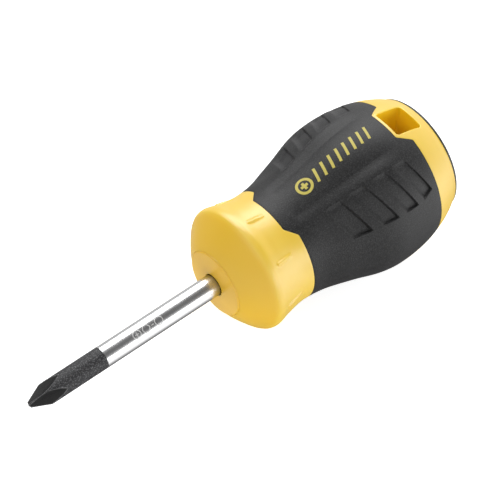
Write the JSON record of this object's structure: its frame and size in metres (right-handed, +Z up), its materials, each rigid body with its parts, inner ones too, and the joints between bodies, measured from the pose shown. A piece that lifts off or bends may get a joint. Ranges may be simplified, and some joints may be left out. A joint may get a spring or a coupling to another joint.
{
  "type": "stubby screwdriver",
  "caption": "Stubby hand screwdriver: short plated cross-head blade fixed in a bulb-shaped cushioned handle with a hang hole through its butt. Turns cross-recess screws in tight places.",
  "frame": {"origin": "centre of the bounding box, on the surface that the tool rests on", "axes": "+X along the tool from its tip towards its butt (the tool's own axis dips 6.4 degrees towards the tip, as it rests on its collar and bulb), +Z up out of the label panel"},
  "size_m": [0.0972, 0.0332, 0.0332],
  "materials": {
    "blade_steel": "bright plated bar with a black, lightly blasted tip",
    "core_plastic": "smooth moulded amber-yellow",
    "body_plastic": "smooth moulded yellow, satin",
    "grip_rubber": "fine-textured soft black",
    "cap_plastic": "satin black"
  },
  "bodies": {
    "root": {"blade": "blade_steel", "handle_core": "core_plastic", "handle_body": "body_plastic", "soft_grip": "grip_rubber", "end_cap": "cap_plastic"}
  },
  "joints": []
}
